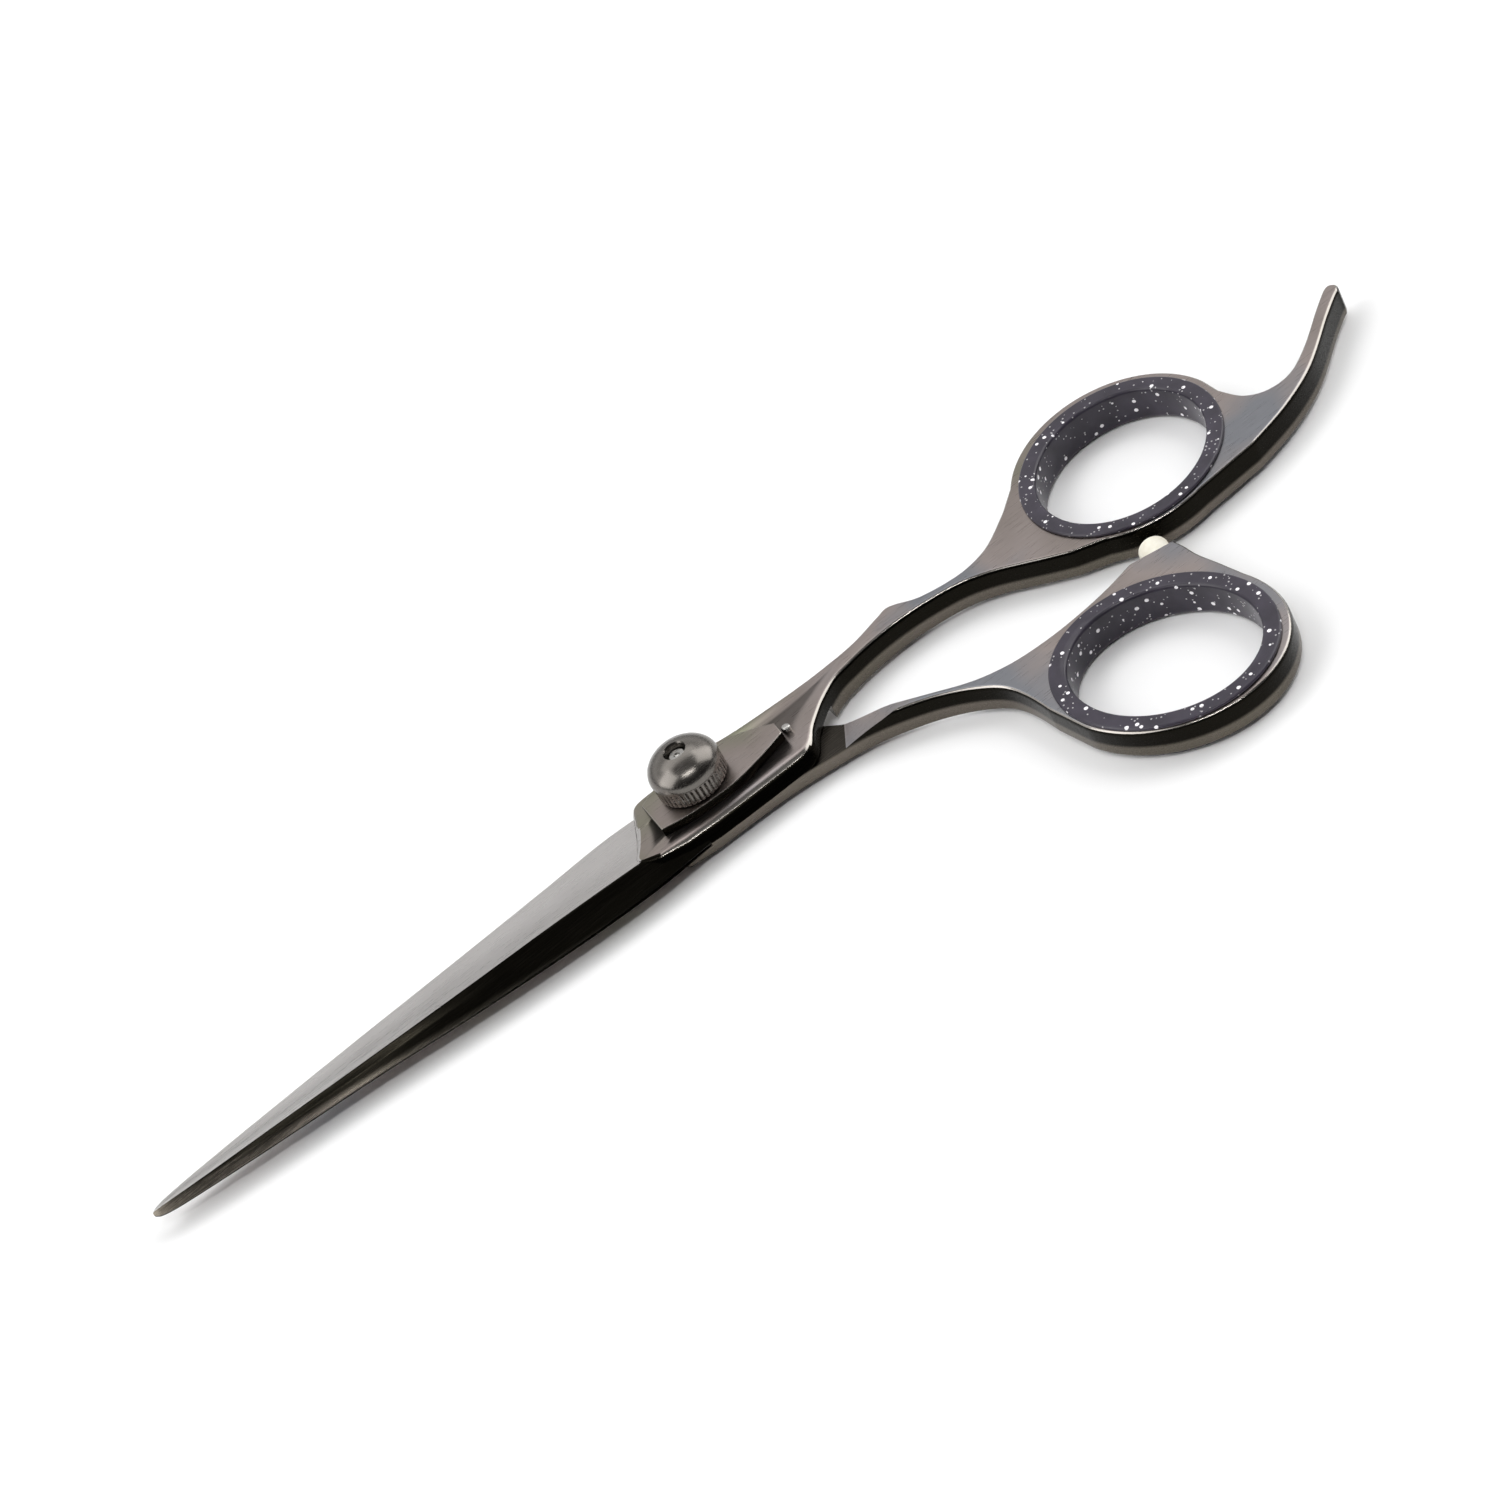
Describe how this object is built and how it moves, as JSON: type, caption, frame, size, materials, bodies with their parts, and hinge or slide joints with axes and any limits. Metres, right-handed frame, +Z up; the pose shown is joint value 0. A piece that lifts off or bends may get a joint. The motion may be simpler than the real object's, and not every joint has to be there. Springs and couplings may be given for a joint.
{
  "type": "hair cutting shears",
  "caption": "Hair cutting shears with offset handles, finger rest, finger hole inserts, rubber bumper and a knurled tension knob at the pivot.",
  "frame": {"origin": "on the pivot axis, at the plane the shears lie on (underside of the pivot bolt's head)", "axes": "+X from the blades towards the finger rings, +Y towards the finger ring side, +Z up, along the pivot axis"},
  "size_m": [0.2007, 0.0684, 0.0125],
  "materials": {
    "gunmetal": "satin, dark titanium grey",
    "bright_steel": "plain turned steel",
    "glitter_purple": "glossy dark purple grey with fine silver flakes",
    "bronze": "plain bearing bronze",
    "nylon": "natural white",
    "cream_rubber": "matt cream white"
  },
  "bodies": {
    "finger_half": {"finger_blade": "gunmetal", "finger_insert": "glitter_purple", "tension_plate": "gunmetal", "plate_pin": "bright_steel", "pivot_bush": "bronze", "slide_washer": "nylon"},
    "thumb_half": {"thumb_blade": "gunmetal", "thumb_insert": "glitter_purple", "pivot_bolt": "bright_steel", "ride_washer": "nylon", "bumper": "cream_rubber", "bumper_stud": "bright_steel"},
    "click_stack": {"click_washer": "bright_steel", "wave_spring": "bright_steel"},
    "knob": {"thumb_nut": "gunmetal"}
  },
  "joints": [
    {"name": "blade_pivot", "type": "hinge", "parent": "finger_half", "child": "thumb_half", "pos_m": [0, 0, 0.003], "axis": [0, 0, -1], "range_deg": [0, 75]},
    {"name": "tension_travel", "type": "slide", "parent": "thumb_half", "child": "click_stack", "axis": [0, 0, 1], "range_m": [0, 0.0005], "deforming": ["wave_spring"]},
    {"name": "nut_turn", "type": "hinge", "parent": "click_stack", "child": "knob", "pos_m": [0, 0, 0.0095], "axis": [0, 0, 1], "range_deg": [0, 360]}
  ],
  "couplings": [
    {"joint": "tension_travel", "follows": "nut_turn", "m_per_rad": 0.0000795}
  ]
}
